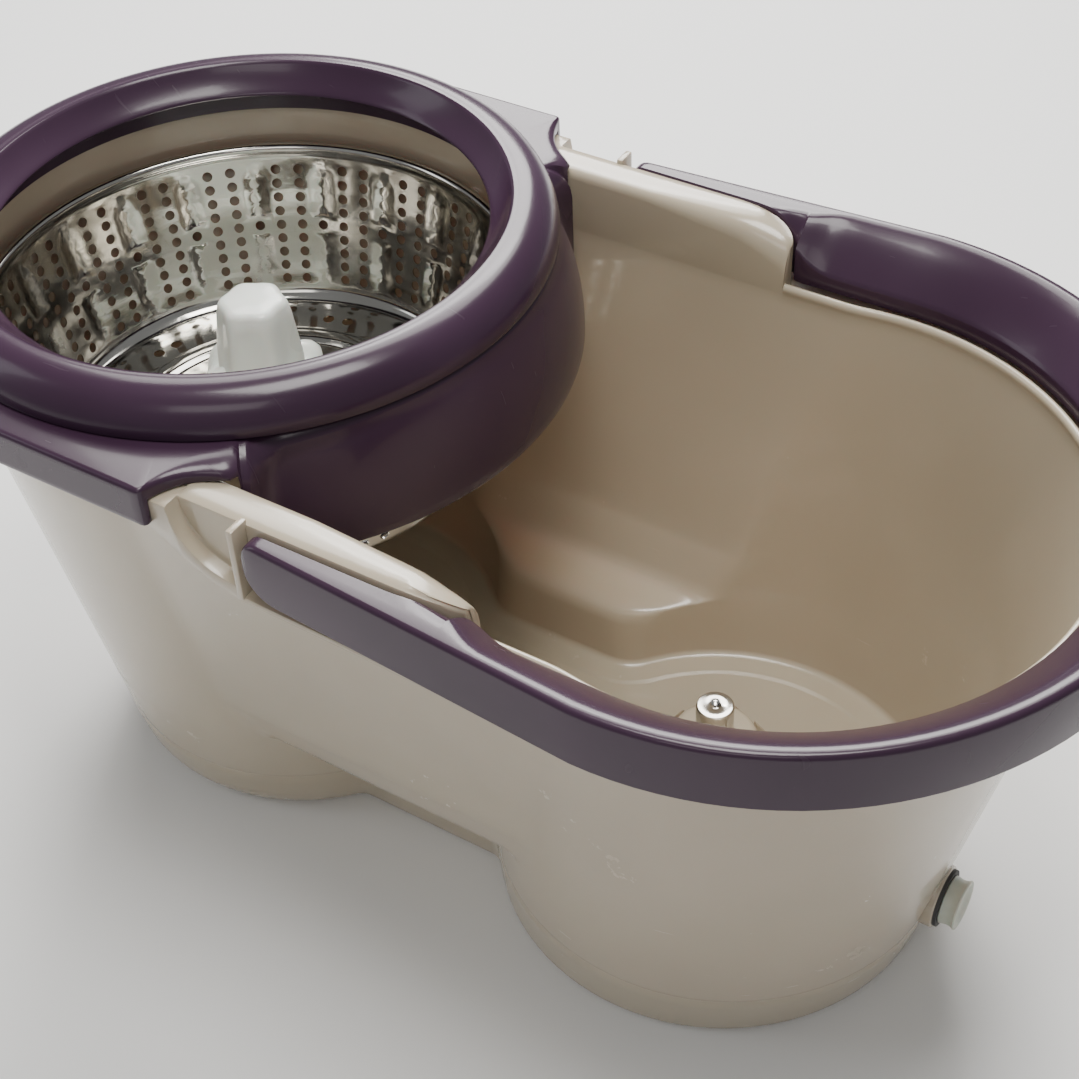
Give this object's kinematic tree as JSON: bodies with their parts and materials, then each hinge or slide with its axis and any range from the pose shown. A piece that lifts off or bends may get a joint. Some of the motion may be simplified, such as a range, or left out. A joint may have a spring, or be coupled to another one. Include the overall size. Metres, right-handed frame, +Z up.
{
  "type": "spin mop bucket",
  "caption": "Two-lobed mop bucket with a spinning steel basket under a splash collar, a wash compartment with a mop post, a fold-down bail handle and a drain plug.",
  "frame": {"origin": "middle of the object's plan box, on the floor it stands on", "axes": "+X from the spin basket to the wash compartment, +Y to its left side, +Z up; XZ is the plane of symmetry"},
  "size_m": [0.466, 0.2596, 0.2361],
  "materials": {
    "tub_plastic": "glossy moulded plastic, champagne beige",
    "purple_plastic": "glossy moulded plastic, dark aubergine",
    "basket_steel": "polished deep-drawn stainless steel",
    "post_steel": "polished stainless steel",
    "fastener_steel": "zinc-plated or stainless turned steel",
    "hub_plastic": "cool white glossy plastic",
    "bearing_nylon": "natural nylon",
    "plug_plastic": "pale translucent soft plastic",
    "seal_rubber": "soft pale rubber"
  },
  "bodies": {
    "base": {"bucket_shell": "tub_plastic", "collar_frame": "purple_plastic", "splash_ring": "purple_plastic", "spin_axle": "fastener_steel", "axle_washer": "fastener_steel", "axle_nut": "fastener_steel", "thrust_washer": "bearing_nylon", "axle_clip": "fastener_steel", "wash_post": "post_steel", "wash_post_washer": "fastener_steel", "wash_post_nut": "fastener_steel", "drain_gasket": "seal_rubber"},
    "handle": {"carry_handle": "purple_plastic"},
    "basket": {"basket_bowl": "basket_steel", "drive_hub": "hub_plastic", "under_hub": "hub_plastic", "hub_screws": "fastener_steel", "lower_bush": "bearing_nylon", "upper_bush": "bearing_nylon"},
    "plug": {"drain_plug": "plug_plastic"}
  },
  "joints": [
    {"name": "handle_swing", "type": "hinge", "parent": "base", "child": "handle", "pos_m": [-0.001, 0, 0.2035], "axis": [0, -1, 0], "range_deg": [0, 105]},
    {"name": "basket_spin", "type": "hinge", "parent": "base", "child": "basket", "pos_m": [-0.107, 0, 0.15], "axis": [0, 0, 1], "continuous": true},
    {"name": "plug_pull", "type": "slide", "parent": "base", "child": "plug", "axis": [1, 0, 0], "range_m": [0, 0.03]}
  ]
}
